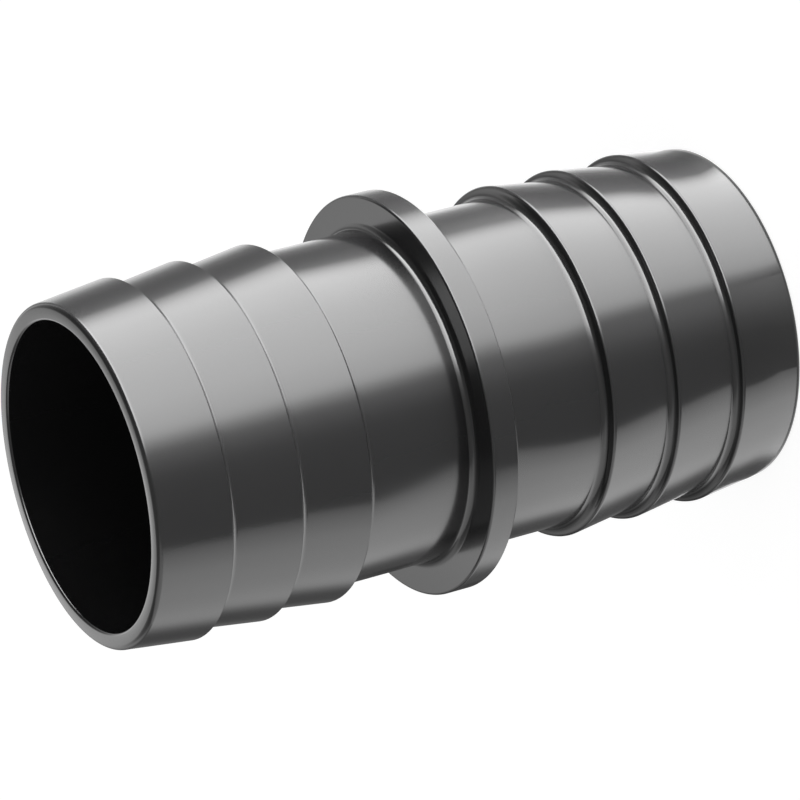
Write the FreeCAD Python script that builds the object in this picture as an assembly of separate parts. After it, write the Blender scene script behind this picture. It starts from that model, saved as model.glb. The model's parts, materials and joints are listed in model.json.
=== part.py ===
import FreeCAD, Part
import math
import os

# Straight barbed hose connector, moulded in one piece, that joins two lengths of hose.
# It stands on its lower mouth: Z runs along the tube and z = 0 is the lower end face.
# Both ends are alike, so the upper tail is the lower one turned over about the collar.
# All sizes are in millimetres.

# Driving dimensions
hose_bore = 38.0          # inside diameter of the hose, which the mouth of each tail just enters
crest_rise = 1.0          # crest of every barb above the hose bore, on the radius
valley_drop = 0.15        # foot of the barbs that follow the first one, below the hose bore
neck_drop = 0.4           # plain neck below the hose bore, where a hose clip pulls the hose in
neck_wall = 1.5           # wall of the tube at the neck, which is its thinnest place
collar_rise = 2.5         # rim of the collar above the barb crests, on the radius
barb_pitch = 8.3          # mouth to first crest, and crest to crest
barb_count = 3            # barbs on each tail
neck_length = 13.3        # plain neck, from the last crest to the collar face
collar_thickness = 3.2    # the stop that both hoses are pushed up against

# Moulded edges. The outer edge of the mouth is a true curve, so that the hose starts over
# it. The others are flats. Narrow ones take the sharpness off, and the wider ones fill as
# much as the coves at the foot of each step and of the collar.
mouth_round = 0.6         # radius of the outer edge of each end face
bore_flat = 0.2           # inner edge of each end face
crest_flat = 0.12         # nearly sharp, so that the barb bites
valley_flat = 0.5         # at the foot of a step between two barbs
neck_flat = 0.55          # where the last step meets the neck
collar_foot_flat = 0.6    # where the neck meets the collar
collar_rim_flat = 0.25    # both rims of the collar

# Sizes that follow from them
mouth_r = hose_bore / 2
crest_r = mouth_r + crest_rise
valley_r = mouth_r - valley_drop
neck_r = mouth_r - neck_drop
bore_r = neck_r - neck_wall
collar_r = crest_r + collar_rise
collar_z = barb_count * barb_pitch + neck_length
total_length = 2 * collar_z + collar_thickness
edge_share = 0.45         # most of a straight that the easing at one of its ends may take


def tail_corners():
    # Outer corners of the lower tail, from its mouth to the rim of the collar:
    # radius, height, size of the eased edge, and whether that edge is a curve.
    corners = [(mouth_r, 0, mouth_round, True)]
    for barb in range(1, barb_count + 1):
        crest_z = barb * barb_pitch
        corners.append((crest_r, crest_z, crest_flat, False))
        if barb < barb_count:
            corners.append((valley_r, crest_z, valley_flat, False))
        else:
            corners.append((neck_r, crest_z, neck_flat, False))
    corners.append((neck_r, collar_z, collar_foot_flat, False))
    corners.append((collar_r, collar_z, collar_rim_flat, False))
    return corners


def wall_corners():
    # The wall cut along the axis: up the outside, then back down the bore.
    lower = tail_corners()
    upper = [(radius, total_length - z, ease, curved) for radius, z, ease, curved in reversed(lower)]
    bore = [(bore_r, total_length, bore_flat, False), (bore_r, 0, bore_flat, False)]
    return lower + upper + bore


def eased_corner(point, before, after, ease, curved):
    # Cuts a corner back along both of its straights. Returns where the bridge over it
    # starts and ends, and the bridge: a tangent arc of radius ease, or a straight line.
    back = before - point
    ahead = after - point
    half_angle = back.getAngle(ahead) / 2
    setback = ease / math.tan(half_angle) if curved else ease
    setback = min(setback, edge_share * min(back.Length, ahead.Length))
    back.normalize()
    ahead.normalize()
    start = point + back * setback
    end = point + ahead * setback
    if not curved:
        return start, end, Part.LineSegment(start, end)
    inward = (back + ahead).normalize()
    arc_radius = setback * math.tan(half_angle)
    crown = point + inward * (arc_radius / math.sin(half_angle) - arc_radius)
    return start, end, Part.Arc(start, crown, end)


def eased_wire(corners):
    # Closed outline in the XZ plane, with every corner eased.
    points = [FreeCAD.Vector(radius, 0, z) for radius, z, ease, curved in corners]
    bridges = []
    for index, (radius, z, ease, curved) in enumerate(corners):
        before = points[index - 1]
        after = points[(index + 1) % len(points)]
        bridges.append(eased_corner(points[index], before, after, ease, curved))
    edges = []
    for index, (start, end, bridge) in enumerate(bridges):
        previous_end = bridges[index - 1][1]
        edges.append(Part.LineSegment(previous_end, start).toShape())
        edges.append(bridge.toShape())
    return Part.Wire(edges)


def connector_body():
    section = Part.Face(eased_wire(wall_corners()))
    return section.revolve(FreeCAD.Vector(0, 0, 0), FreeCAD.Vector(0, 0, 1), 360)


os.makedirs("parts", exist_ok=True)
body = connector_body()
body.exportStep("parts/connector_body.step")
print("connector_body", body.ShapeType, "valid", body.isValid(), "faces", len(body.Faces))
print("volume", round(body.Volume, 1), "length", round(total_length, 3))
print("diameters: bore", round(2 * bore_r, 3), "crest", round(2 * crest_r, 3), "collar", round(2 * collar_r, 3))
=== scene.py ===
import json
import math
import bmesh
import bpy
from mathutils import Matrix, Vector

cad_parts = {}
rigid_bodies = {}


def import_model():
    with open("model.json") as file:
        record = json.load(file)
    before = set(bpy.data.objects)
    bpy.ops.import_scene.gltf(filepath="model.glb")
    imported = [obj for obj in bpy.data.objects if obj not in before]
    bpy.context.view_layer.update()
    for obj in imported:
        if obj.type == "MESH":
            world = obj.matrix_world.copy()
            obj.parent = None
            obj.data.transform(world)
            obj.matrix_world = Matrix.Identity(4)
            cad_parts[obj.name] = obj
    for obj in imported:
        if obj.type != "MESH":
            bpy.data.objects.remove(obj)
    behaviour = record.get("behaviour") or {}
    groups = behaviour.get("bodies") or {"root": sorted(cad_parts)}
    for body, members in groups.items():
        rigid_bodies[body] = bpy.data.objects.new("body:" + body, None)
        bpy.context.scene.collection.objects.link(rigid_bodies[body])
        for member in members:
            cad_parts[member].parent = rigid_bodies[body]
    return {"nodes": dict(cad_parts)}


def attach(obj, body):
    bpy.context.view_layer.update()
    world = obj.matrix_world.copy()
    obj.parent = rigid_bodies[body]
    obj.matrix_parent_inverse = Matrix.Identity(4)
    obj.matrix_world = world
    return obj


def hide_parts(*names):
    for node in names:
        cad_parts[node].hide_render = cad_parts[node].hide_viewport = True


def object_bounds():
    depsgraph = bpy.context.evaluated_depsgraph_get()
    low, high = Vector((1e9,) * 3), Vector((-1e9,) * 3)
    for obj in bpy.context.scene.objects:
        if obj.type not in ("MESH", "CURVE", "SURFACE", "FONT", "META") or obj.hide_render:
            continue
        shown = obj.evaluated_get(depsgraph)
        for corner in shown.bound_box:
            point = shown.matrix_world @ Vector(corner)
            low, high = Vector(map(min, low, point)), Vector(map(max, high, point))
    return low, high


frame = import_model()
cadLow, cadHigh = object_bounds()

scene = bpy.context.scene
mm = 0.001
print("frame loaded:", sorted(frame["nodes"]))


class Wire:
    # One socket of a node tree. Arithmetic on it adds Math nodes, and node() adds any other kind.
    def __init__(self, tree, socket=None):
        self.tree = tree
        self.socket = socket

    def node(self, kind, settings=None, values=None, output=0):
        added = self.tree.nodes.new(kind)
        for name, value in (settings or {}).items():
            if name == "stops":
                self.fillRamp(added.color_ramp, value)
            else:
                setattr(added, name, value)
        for name, value in (values or {}).items():
            if isinstance(value, Wire):
                self.tree.links.new(value.socket, added.inputs[name])
            else:
                added.inputs[name].default_value = value
        return Wire(self.tree, added.outputs[output] if len(added.outputs) else None)

    def fillRamp(self, ramp, stops):
        while len(ramp.elements) > 1:
            ramp.elements.remove(ramp.elements[0])
        ramp.elements[0].position = stops[0][0]
        ramp.elements[0].color = (*[stops[0][1]] * 3, 1)
        for place, grey in stops[1:]:
            ramp.elements.new(place).color = (grey, grey, grey, 1)

    def maths(self, operation, *values):
        return self.node("ShaderNodeMath", {"operation": operation}, dict(enumerate(values)))

    def __add__(self, other): return self.maths("ADD", self, other)
    def __radd__(self, other): return self.maths("ADD", other, self)
    def __sub__(self, other): return self.maths("SUBTRACT", self, other)
    def __rsub__(self, other): return self.maths("SUBTRACT", other, self)
    def __mul__(self, other): return self.maths("MULTIPLY", self, other)
    def __truediv__(self, other): return self.maths("DIVIDE", self, other)
    def __lt__(self, other): return self.maths("LESS_THAN", self, other)
    def __gt__(self, other): return self.maths("GREATER_THAN", self, other)
    def __mod__(self, other): return self.maths("FLOORED_MODULO", self, other)
    def floor(self): return self.maths("FLOOR", self)
    def least(self, other): return self.maths("MINIMUM", self, other)
    def same(self, other): return self.maths("COMPARE", self, other, 0.5)


def newMaterial(name):
    material = bpy.data.materials.new(name)
    material.use_nodes = True
    material.node_tree.nodes.clear()
    return material, Wire(material.node_tree)


def stageMesh(name, points, faces, material, **seenBy):
    mesh = bpy.data.meshes.new(name)
    mesh.from_pydata(points, [], faces)
    mesh.materials.append(material)
    piece = bpy.data.objects.new(name, mesh)
    scene.collection.objects.link(piece)
    for ray in ("camera", "diffuse", "glossy", "transmission", "shadow", "volume_scatter"):
        setattr(piece, "visible_" + ray, seenBy.get(ray, False))
    return piece


cameraSettings = {
    "elevation": 25.9696,                      # degrees above the horizon
    "roll": 14.6282,                           # lean of the tube's axis from level in the picture
    "lens": 233.59,                            # on a 36 mm sensor
    "mouthInView": (-34.369, 8.2655, 552.151), # near mouth's centre: right, down and away, mm
}


def makeCamera(s):
    elevation, roll = math.radians(s["elevation"]), math.radians(s["roll"])
    away = Vector((0, math.cos(elevation), -math.sin(elevation)))
    level = Vector((1, 0, 0))
    along = Vector((0, -math.sin(elevation), -math.cos(elevation)))
    right = along * math.cos(roll) - level * math.sin(roll)
    down = -along * math.sin(roll) - level * math.cos(roll)
    mouth = Vector((0, 0, cadHigh.z))
    x, y, z = (value * mm for value in s["mouthInView"])
    place = mouth - right * x - down * y - away * z
    camera = bpy.data.objects.new("camera", bpy.data.cameras.new("camera"))
    scene.collection.objects.link(camera)
    turn = Matrix((right, -down, -away)).transposed().to_4x4()
    camera.matrix_world = Matrix.Translation(place) @ turn
    camera.data.lens = s["lens"]
    camera.data.sensor_width = 36
    camera.data.clip_start, camera.data.clip_end = 0.02, 50
    scene.camera = camera


makeCamera(cameraSettings)
print("camera placed")


plasticSettings = {
    "colour": (0.0148, 0.0148, 0.0152),
    "roughness": 0.15,
    "roughnessSpread": 0.05,
    "specular": 0.5,
    "grainSize": 0.35,       # mm
    "grainDepth": 0.0012,    # mm
    "cloudScale": 90.0,      # broad, faint clouds in the tone and the gloss, per metre
    "toneSpread": 0.07,
}


def makePlastic(s):
    material, draw = newMaterial("mouldedPlastic")
    place = draw.node("ShaderNodeTexCoord", output="Object")
    grain = draw.node("ShaderNodeTexNoise", None,
                      {"Vector": place, "Scale": 1 / (s["grainSize"] * mm),
                       "Detail": 2.0, "Roughness": 0.55})
    cloud = draw.node("ShaderNodeTexNoise", None,
                      {"Vector": place, "Scale": s["cloudScale"], "Detail": 3.0})
    darker, lighter = [(*[c * share for c in s["colour"]], 1)
                       for share in (1 - s["toneSpread"], 1 + s["toneSpread"])]
    # Sockets 6 and 7 are the two colours of a Mix node, and output 2 is the mixed one.
    tone = draw.node("ShaderNodeMix", {"data_type": "RGBA"},
                     {"Factor": cloud, 6: darker, 7: lighter}, output=2)
    rough = s["roughness"] + (cloud - 0.5) * s["roughnessSpread"]
    bump = draw.node("ShaderNodeBump", None,
                     {"Height": grain, "Distance": s["grainDepth"] * mm, "Strength": 1.0})
    shader = draw.node("ShaderNodeBsdfPrincipled", None,
                       {"Base Color": tone, "Roughness": rough, "Normal": bump,
                        "IOR": 1.5, "Specular IOR Level": s["specular"]})
    draw.node("ShaderNodeOutputMaterial", None, {"Surface": shader})
    return material


plastic = makePlastic(plasticSettings)
print("plastic mixed")


# Sizes in mm. All edges are curves of the radius given, except the flats. An upper step sits
# a little farther from its mouth than the source has it, and a lower crest a little lower.
bodySettings = {
    "Hose bore": 38.0, "Crest rise": 1.0, "Valley drop": 0.15, "Neck drop": 0.4, "Neck wall": 1.5,
    "Collar rise": 2.5, "Barb pitch": 8.3, "Neck length": 13.3, "Collar thickness": 3.2,
    "Hidden edge flat": 0.2, "Lower crest rounding": 0.34, "Upper step shift": 0.1,
    "Lower crest drop": 0.085,
    "Mouth rounding": 0.62, "Bore rounding": 0.3, "Valley rounding": 0.9,
    "Neck rounding": 0.92, "Collar foot rounding": 0.85, "Collar rim rounding": 0.3,
}
bodyCounts = {"Barbs": 3, "Steps in a rounding": 10, "Steps round the tube": 288}


def makeBodyTree():
    # The wall's section is a row of corners, numbered from the lower mouth up to the collar,
    # down the list again for the upper tail, and then the two corners of the bore.
    tree = bpy.data.node_groups.new("barbedTube", "GeometryNodeTree")
    tree.is_modifier = True
    face = tree.interface
    face.new_socket("Geometry", in_out="INPUT", socket_type="NodeSocketGeometry")
    for name in bodySettings:
        face.new_socket(name, in_out="INPUT", socket_type="NodeSocketFloat")
    for name in bodyCounts:
        face.new_socket(name, in_out="INPUT", socket_type="NodeSocketInt")
    face.new_socket("Material", in_out="INPUT", socket_type="NodeSocketMaterial")
    face.new_socket("Geometry", in_out="OUTPUT", socket_type="NodeSocketGeometry")
    made = Wire(tree)
    given = tree.nodes.new("NodeGroupInput")
    size = {socket.name: Wire(tree, socket) for socket in given.outputs if socket.name}

    mouthRadius = size["Hose bore"] / 2
    crestRadius = mouthRadius + size["Crest rise"]
    valleyRadius = mouthRadius - size["Valley drop"]
    neckRadius = mouthRadius - size["Neck drop"]
    boreRadius = neckRadius - size["Neck wall"]
    collarRadius = crestRadius + size["Collar rise"]
    collarHeight = size["Barbs"] * size["Barb pitch"] + size["Neck length"]
    length = collarHeight * 2 + size["Collar thickness"]
    lastStep = size["Barbs"] * 2
    tailCorners = lastStep + 3

    index = made.node("GeometryNodeInputIndex")
    corner = index.least(tailCorners * 2 - 1 - index)
    isUpper = index > tailCorners - 0.5
    isBore = index > tailCorners * 2 - 0.5
    onBarb = corner < lastStep + 0.5
    isMouth = corner < 0.5
    isCrest = onBarb * (corner % 2).same(1)
    isValley = onBarb * (1 - isCrest) * (1 - isMouth) * (corner < lastStep - 0.5)
    isRim = corner > lastStep + 1.5
    isNeck = corner.same(lastStep)
    isFoot = corner.same(lastStep + 1)
    flags = {"Mouth": isMouth, "Valley": isValley, "Neck": isNeck, "Collar foot": isFoot,
             "Collar rim": isRim * isUpper}

    tailRadius = (mouthRadius * isMouth + crestRadius * isCrest + valleyRadius * isValley
                  + neckRadius * (isNeck + isFoot) + collarRadius * isRim)
    stepHeight = ((corner + 1) / 2).floor() * size["Barb pitch"]
    tailHeight = (onBarb * stepHeight + (1 - onBarb) * collarHeight
                  + onBarb * (1 - isMouth) * isUpper * size["Upper step shift"]
                  - isCrest * (1 - isUpper) * size["Lower crest drop"])
    height = tailHeight + isUpper * (length - tailHeight * 2)
    boreHeight = index.same(tailCorners * 2) * length
    radius = tailRadius * (1 - isBore) + boreRadius * isBore
    height = height * (1 - isBore) + boreHeight * isBore
    # The upper crests and the lower rim of the collar turn away from the camera. They are cut flat.
    isFlat = (isCrest * isUpper + isRim * (1 - isUpper)) * (1 - isBore)
    rounding = (size["Bore rounding"] * isBore + size["Hidden edge flat"] * isFlat
                + size["Lower crest rounding"] * isCrest * (1 - isUpper))
    for name, flag in flags.items():
        rounding = rounding + size[name + " rounding"] * flag * (1 - isBore)

    # Curve to Mesh lays the section's x away from the axis and its y down it.
    ring = size["Hose bore"] / 4
    row = made.node("GeometryNodeMeshLine", None, {"Count": tailCorners * 2 + 2})
    row = made.node("GeometryNodeSetPosition", None, {
        "Geometry": row,
        "Position": made.node("ShaderNodeCombineXYZ", None, {"X": radius - ring, "Y": 0 - height})})
    row = made.node("GeometryNodeStoreNamedAttribute", {"data_type": "FLOAT", "domain": "POINT"},
                    {"Geometry": row, "Name": "rounding", "Value": rounding})
    row = made.node("GeometryNodeStoreNamedAttribute", {"data_type": "FLOAT", "domain": "POINT"},
                    {"Geometry": row, "Name": "flat", "Value": isFlat})
    section = made.node("GeometryNodeMeshToCurve", None, {"Mesh": row})
    section = made.node("GeometryNodeSetSplineCyclic", None, {"Geometry": section, "Cyclic": True})
    stored = made.node("GeometryNodeInputNamedAttribute", {"data_type": "FLOAT"},
                       {"Name": "rounding"})
    onFlat = made.node("GeometryNodeInputNamedAttribute", {"data_type": "FLOAT"}, {"Name": "flat"})
    steps = 1 + (1 - onFlat) * (size["Steps in a rounding"] - 1)
    section = made.node("GeometryNodeFilletCurve", {"mode": "POLY"},
                        {"Curve": section, "Count": steps, "Radius": stored,
                         "Limit Radius": True})
    path = made.node("GeometryNodeCurvePrimitiveCircle", {"mode": "RADIUS"},
                     {"Resolution": size["Steps round the tube"], "Radius": ring})
    tube = made.node("GeometryNodeCurveToMesh", None, {"Curve": path, "Profile Curve": section})
    tube = made.node("GeometryNodeFlipFaces", None, {"Mesh": tube})
    tube = made.node("GeometryNodeSetShadeSmooth", None, {"Geometry": tube, "Shade Smooth": True})
    tube = made.node("GeometryNodeSetShadeSmooth", None,
                     {"Geometry": tube, "Selection": onFlat > 0.9, "Shade Smooth": False})
    tube = made.node("GeometryNodeRealizeInstances", None, {"Geometry": tube})
    tube = made.node("GeometryNodeSetMaterial", None,
                     {"Geometry": tube, "Material": size["Material"]})
    result = tree.nodes.new("NodeGroupOutput")
    tree.links.new(tube.socket, result.inputs[0])
    return tree


def makeBody():
    seed = bpy.data.meshes.new("connector")
    body = bpy.data.objects.new("connector", seed)
    scene.collection.objects.link(body)
    tree = makeBodyTree()
    maker = body.modifiers.new("barbedTube", "NODES")
    maker.node_group = tree
    sockets = {item.name: item.identifier
               for item in tree.interface.items_tree if item.in_out == "INPUT"}
    for name, value in bodySettings.items():
        maker[sockets[name]] = value * mm
    for name, value in bodyCounts.items():
        maker[sockets[name]] = value
    maker[sockets["Material"]] = plastic
    shading = body.modifiers.new("flatStretches", "WEIGHTED_NORMAL")
    shading.mode = "FACE_AREA"
    shading.weight = 50
    shading.keep_sharp = True
    graph = bpy.context.evaluated_depsgraph_get()
    mesh = bpy.data.meshes.new_from_object(body.evaluated_get(graph))
    body.modifiers.clear()
    body.data = mesh
    bpy.data.meshes.remove(seed)
    checked = bmesh.new()
    checked.from_mesh(mesh)
    openEdges = [edge for edge in checked.edges if len(edge.link_faces) != 2]
    print("body: open edges", len(openEdges),
          "volume in ml", round(checked.calc_volume(signed=True) * 1e6, 2))
    checked.free()
    return body


body = makeBody()
low = Vector([min(v.co[i] for v in body.data.vertices) for i in range(3)])
high = Vector([max(v.co[i] for v in body.data.vertices) for i in range(3)])
print("body:", len(body.data.polygons), "faces, box", [round(c * 1000, 3) for c in (*low, *high)])
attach(body, "root")
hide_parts("connector_body")


floorSettings = {"reach": 4.0, "paper": 0.37, "glow": 0.88}   # reach in metres


def makeFloor(s):
    material, draw = newMaterial("paleFloor")
    rays = draw.node("ShaderNodeLightPath")
    outputs = rays.socket.node.outputs
    seen = (Wire(draw.tree, outputs["Is Camera Ray"]) * s["glow"]
            + Wire(draw.tree, outputs["Is Glossy Ray"])
            + Wire(draw.tree, outputs["Is Transmission Ray"]))
    paper = draw.node("ShaderNodeBsdfDiffuse", None, {"Color": (*[s["paper"]] * 3, 1)})
    glow = draw.node("ShaderNodeEmission", None, {"Color": (1, 1, 1, 1), "Strength": seen})
    both = draw.node("ShaderNodeAddShader", None, {0: paper, 1: glow})
    draw.node("ShaderNodeOutputMaterial", None, {"Surface": both})
    r = s["reach"]
    corners = [(-r, -r, 0), (r, -r, 0), (r, r, 0), (-r, r, 0)]
    return stageMesh("floor", corners, [(0, 1, 2, 3)], material,
                     camera=True, diffuse=True, glossy=True, transmission=True, shadow=True)


makeFloor(floorSettings)

worldSettings = {"ambient": 0.4}


def makeWorld(s):
    world = bpy.data.worlds.new("studio")
    scene.world = world
    world.use_nodes = True
    world.node_tree.nodes.clear()
    draw = Wire(world.node_tree)
    outputs = draw.node("ShaderNodeLightPath").socket.node.outputs
    seen = (Wire(draw.tree, outputs["Is Camera Ray"]) + Wire(draw.tree, outputs["Is Glossy Ray"])
            + Wire(draw.tree, outputs["Is Transmission Ray"])).least(1)
    back = draw.node("ShaderNodeBackground", None,
                     {"Color": (1, 1, 1, 1), "Strength": seen * (1 - s["ambient"]) + s["ambient"]})
    draw.node("ShaderNodeOutputWorld", None, {"Surface": back})


makeWorld(worldSettings)
print("floor and backdrop laid")


# The tube leans away from the camera's line, so it mirrors what lies round its foot.
# Edges are (distance from the tube's axis in mm, bearing in degrees). Bearings turn from the
# side that faces the camera towards +X. Tones are (place from start to end, brightness), and
# fades are (distance, factor), or (place from foot to top, factor) on a wall or a card.
# Right is the side of +X, which is up in the rolled picture, and left is down in it.

panelSettings = {
    # The wide light to the right of the camera.
    "keyPanel": {
        "start": [(20, 7), (25, 8), (30, 9), (40, 9.5), (50, 8), (70, 3), (92, 3), (98, 5.5),
                  (108, 6), (117, 3), (470, 3)],
        "end": [(20, 57), (22, 61.5), (25, 67), (28, 73), (32, 80.5), (40, 87.5), (45, 91),
                (62, 98.5), (72, 101.5), (82, 103), (90, 103.5), (97, 102), (106, 101.5),
                (118, 105), (135, 107.8), (200, 108.8), (470, 109.8)],
        "tones": [(0.0, 1.8), (0.05, 4.2), (0.09, 7.2), (0.13, 8.2), (0.28, 9.5), (0.47, 10.2),
                  (0.7, 10.5), (0.84, 9.9), (0.9, 8.2), (0.95, 5.2), (1.0, 2.2)],
        "fade": [(20, 0.76), (50, 0.77), (75, 0.8), (90, 0.86), (104, 0.85), (114, 0.9),
                 (200, 0.97)],
        "upright": {
            "fade": [(0.0, 1.0), (0.3, 1.15), (0.6, 1.45), (0.9, 1.45), (1.0, 0.8)],
            "top": [(0.0, 480), (0.35, 480), (0.44, 430), (0.5, 340), (0.65, 280), (0.8, 225),
                    (0.9, 170), (1.0, 115)],
        },
        "reach": 470, "height": 0.3, "lamp": True,
    },
    # The weaker light to its left.
    "fillPanel": {
        "start": [(20, -81), (22, -89), (25, -99), (29, -109), (33, -117), (40, -124), (50, -131),
                  (60, -136), (85, -141), (120, -145), (200, -147), (470, -149)],
        "end": [(20, -26), (25, -34), (32, -40), (40, -47), (55, -55), (65, -58), (85, -56),
                (90, -47), (96, -38), (99, -42), (102, -64), (105, -71), (110, -72), (114, -71),
                (121, -70), (135, -64.5), (200, -60.5), (470, -57)],
        "tones": [(0.0, 0.16), (0.1, 0.2), (0.165, 0.3), (0.23, 0.72), (0.3, 1.65), (0.36, 2.1),
                  (0.43, 2.3), (0.56, 2.65), (0.65, 2.95), (0.8, 3.1), (0.92, 2.45), (1.0, 1.6)],
        "fade": [(20, 1.0), (50, 1.0), (75, 0.95), (120, 0.95), (200, 0.95)],
        "upright": {
            "fade": [(0.0, 0.75), (0.3, 0.65), (1.0, 0.6)],
        },
        "reach": 470, "height": 0.3, "lamp": True,
    },
    # The grey gap between the two lights.
    "frontCard": {
        "start": [(20, -80), (470, -80)],
        "end": [(20, 20), (470, 20)],
        "tones": [(0.0, 1.0), (0.6, 1.0), (0.68, 1.15), (0.74, 1.7), (0.8, 2.6), (0.86, 3.4),
                  (1.0, 3.6)],
        "fade": [(20, 0.66), (27, 0.5), (45, 0.4), (60, 0.46), (200, 0.5), (470, 0.52)],
        "upright": {
            "fade": [(0.0, 0.6)],
        },
        "reach": 480, "height": 0.15, "lamp": False,
    },
    # The dark side on the left, which dims the outline there.
    "leftCard": {
        "start": [(20, -92), (25, -110), (30, -130), (37, -146), (45, -155), (60, -165), (75, -173),
                  (80, -183), (95, -183), (105, -177), (150, -178), (200, -167), (480, -168)],
        "end": [(20, -60), (470, -100)],
        "tones": [(0.0, 0.24), (0.3, 0.13), (1.0, 0.12)],
        "fade": [(20, 1.0), (72, 1.0), (80, 0.55), (96, 0.55), (108, 0.5), (125, 1.0)],
        "upright": {
            "fade": [(0.0, 1.0)],
        },
        "reach": 480, "height": 0.15, "lamp": False,
    },
    # The dark side on the right.
    "rightCard": {
        "start": [(20, 45), (50, 80), (480, 95)],
        "end": [(20, 90), (25, 102), (30, 121), (40, 131), (50, 139), (70, 147), (87, 151),
                (110, 152.5), (131, 151), (160, 152), (480, 151)],
        "tones": [(0.0, 1.2), (0.24, 1.15), (0.36, 0.9), (0.5, 0.48), (0.62, 0.34), (0.8, 0.46),
                  (1.0, 1.15)],
        "fade": [(20, 1.0), (28, 1.0), (50, 0.95), (62, 1.6), (80, 1.5), (90, 0.9), (105, 1.1),
                 (122, 1.05), (170, 1.05)],
        "upright": {
            "start": [(480, 10)],
            "tones": [(0.0, 0.4), (0.75, 0.4), (1.0, 0.95)],
            "fade": [(0.0, 1.0)],
        },
        "reach": 480, "height": 0.15, "lamp": False,
    },
    # The paler ground behind it, which lights the outline again.
    "rearCard": {
        "start": [(20, 90), (25, 102), (30, 121), (40, 131), (50, 139), (70, 147), (87, 151),
                  (110, 152.5), (131, 151), (160, 152), (480, 151)],
        "end": [(20, 175), (470, 178)],
        "tones": [(0.0, 1.4), (1.0, 1.4)],
        "fade": [(20, 1.2), (28, 1.0), (75, 1.0), (85, 0.76), (94, 0.76), (101, 0.95), (110, 0.97),
                 (150, 0.8), (250, 0.8), (400, 0.85)],
        "upright": None, "reach": 480, "height": 0.15, "lamp": False,
    },
}
innerEdge = 19.4   # mm from the axis, just clear of the mouth's rim
wallTop = 480      # mm above the floor
sheetSteps = 24    # faces across a sheet
rings = [innerEdge, 22, 25, 28, 32, 37, 43, 50, 60, 75, 100, 130, 200, 300]


def between(table, at):
    # Straight-line reading of a table of (place, value).
    if at <= table[0][0]:
        return table[0][1]
    for (a, low), (b, high) in zip(table, table[1:]):
        if at <= b:
            return low + (high - low) * (at - a) / (b - a)
    return table[-1][1]


def makeGlow(name, s):
    # The sheet's own map says how far across and how far out a place is.
    top = max(value for place, value in s["tones"])
    material, draw = newMaterial(name)
    axes = draw.node("ShaderNodeSeparateXYZ", None,
                     {"Vector": draw.node("ShaderNodeUVMap")}).socket.node.outputs
    across = draw.node("ShaderNodeValToRGB", {"stops": [(u, v / top) for u, v in s["tones"]]},
                       {"Fac": Wire(draw.tree, axes["X"])})
    out = draw.node("ShaderNodeValToRGB", {"stops": [(d / s["reach"], v) for d, v in s["fade"]]},
                    {"Fac": Wire(draw.tree, axes["Y"])})
    glow = draw.node("ShaderNodeEmission", None, {"Color": across, "Strength": out * top})
    if s["lamp"]:   # a lamp shines from its front only
        clear = draw.node("ShaderNodeBsdfTransparent")
        back = draw.node("ShaderNodeNewGeometry", output="Backfacing")
        glow = draw.node("ShaderNodeMixShader", None, {0: back, 1: glow, 2: clear})
    draw.node("ShaderNodeOutputMaterial", None, {"Surface": glow})
    return material


def makePanel(name, s):
    # A sheet that lies round the tube between two edges, and turns up as a wall at its far side.
    rows = [(r, s["height"], r / s["reach"]) for r in rings + [s["reach"]]]
    makeSheet(name, s, rows, {"diffuse": True} if s["lamp"] else {})
    if s["upright"]:
        wall = {"top": [(0.0, wallTop)], **s, **s["upright"], "reach": 1}
        rows = [(s["reach"], s["height"], 0), (s["reach"], None, 1)]   # None: the height of its top
        makeSheet(name + "Wall", wall, rows, {})


def makeSheet(name, s, rows, seenBy):
    points, places = [], []
    steps = sheetSteps
    for distance, height, place in rows:
        first, last = between(s["start"], distance), between(s["end"], distance)
        for step in range(steps + 1):
            angle = math.radians(first + (last - first) * step / steps)
            z = between(s["top"], step / steps) if height is None else height
            point = (distance * math.sin(angle), -distance * math.cos(angle), z)
            points.append(tuple(c * mm for c in point))
            places.append((step / steps, place))
    faces = []
    for row in range(len(rows) - 1):
        for step in range(steps):
            a = row * (steps + 1) + step
            faces.append((a, a + steps + 1, a + steps + 2, a + 1))
    return sheetMesh(name, points, faces, places, makeGlow(name, s), **seenBy)


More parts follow.
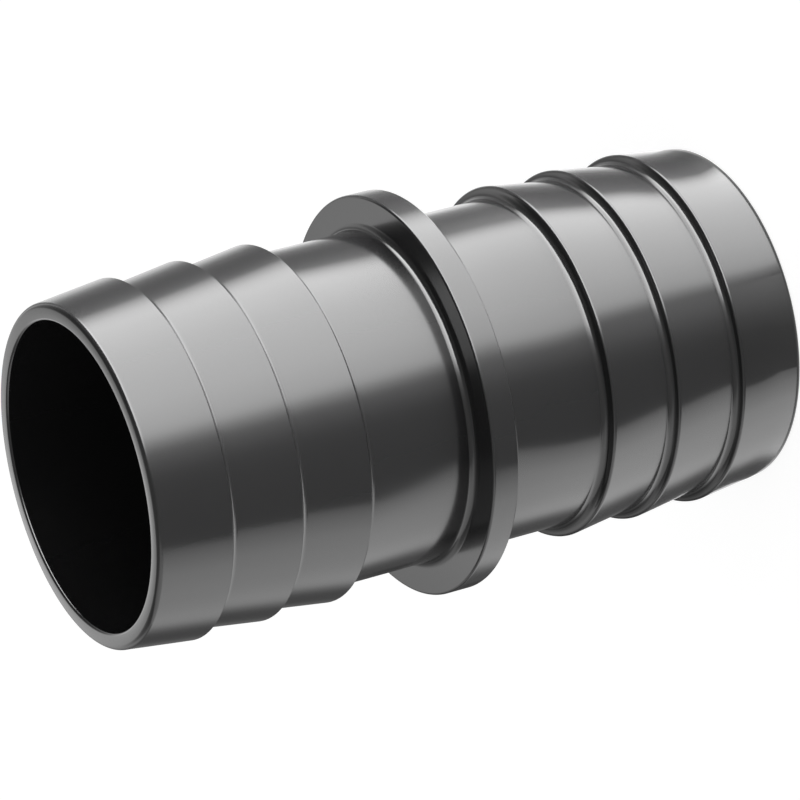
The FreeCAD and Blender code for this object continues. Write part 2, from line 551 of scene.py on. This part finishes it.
def sheetMesh(name, points, faces, places, material, **seenBy):
    sheet = stageMesh(name, points, faces, material, glossy=True, **seenBy)
    layer = sheet.data.uv_layers.new(name="sheet")
    for loop in sheet.data.loops:
        layer.data[loop.index].uv = places[loop.vertex_index]
    return sheet


# Upright or hanging cards, by their corners in mm. Only mirror-like reflections see them.
cardSettings = {
    # Overhead, for the upper sides of the steps and of the coves.
    "hood": {
        "corners": [(-700, -700, 478), (700, -700, 478), (700, 420, 478), (-700, 420, 478)],
        "tones": [(0.0, 1.5), (0.2, 1.4), (0.3, 0.45), (0.5, 0.45), (0.6, 0.25), (1.0, 0.25)],
        "fade": [(0.0, 1.0)],
        "reach": 1, "lamp": False,
    },
    # Behind the tube, from just above the collar to above the mouth, for the collar's upper face.
    "lowBackLight": {
        "corners": [(-260, 130, 50), (260, 130, 50), (260, 130, 113), (-260, 130, 113)],
        "tones": [(0.0, 0.7), (0.38, 0.85), (0.46, 1.25), (0.5, 1.5), (0.55, 1.3), (0.7, 1.1),
                  (1.0, 1.0)],
        "fade": [(0.0, 0.3), (0.46, 0.5), (0.65, 0.9), (0.92, 1.1), (1.0, 1.1)],
        "reach": 1, "lamp": False,
    },
    # Higher up behind the tube, for the ring of the near mouth.
    "backLight": {
        "corners": [(-260, 130, 113), (260, 130, 113), (260, 130, 290), (-260, 130, 290)],
        "tones": [(0.0, 0.7), (0.38, 0.77), (0.44, 1.25), (0.49, 2.1), (0.54, 1.25), (0.59, 0.5),
                  (1.0, 0.42)],
        "fade": [(0.0, 1.3), (0.08, 1.25), (0.16, 0.8), (0.22, 0.6), (0.46, 0.4), (1.0, 0.4)],
        "reach": 1, "lamp": False,
    },
}


def makeCard(name, s):
    corners = [tuple(c * mm for c in corner) for corner in s["corners"]]
    places = [(0, 0), (1, 0), (1, 1), (0, 1)]
    return sheetMesh(name, corners, [(0, 1, 2, 3)], places, makeGlow(name, s))


for name, s in panelSettings.items():
    makePanel(name, s)
for name, s in cardSettings.items():
    makeCard(name, s)
print("studio panels and cards set")

scene.view_settings.view_transform = "Standard"
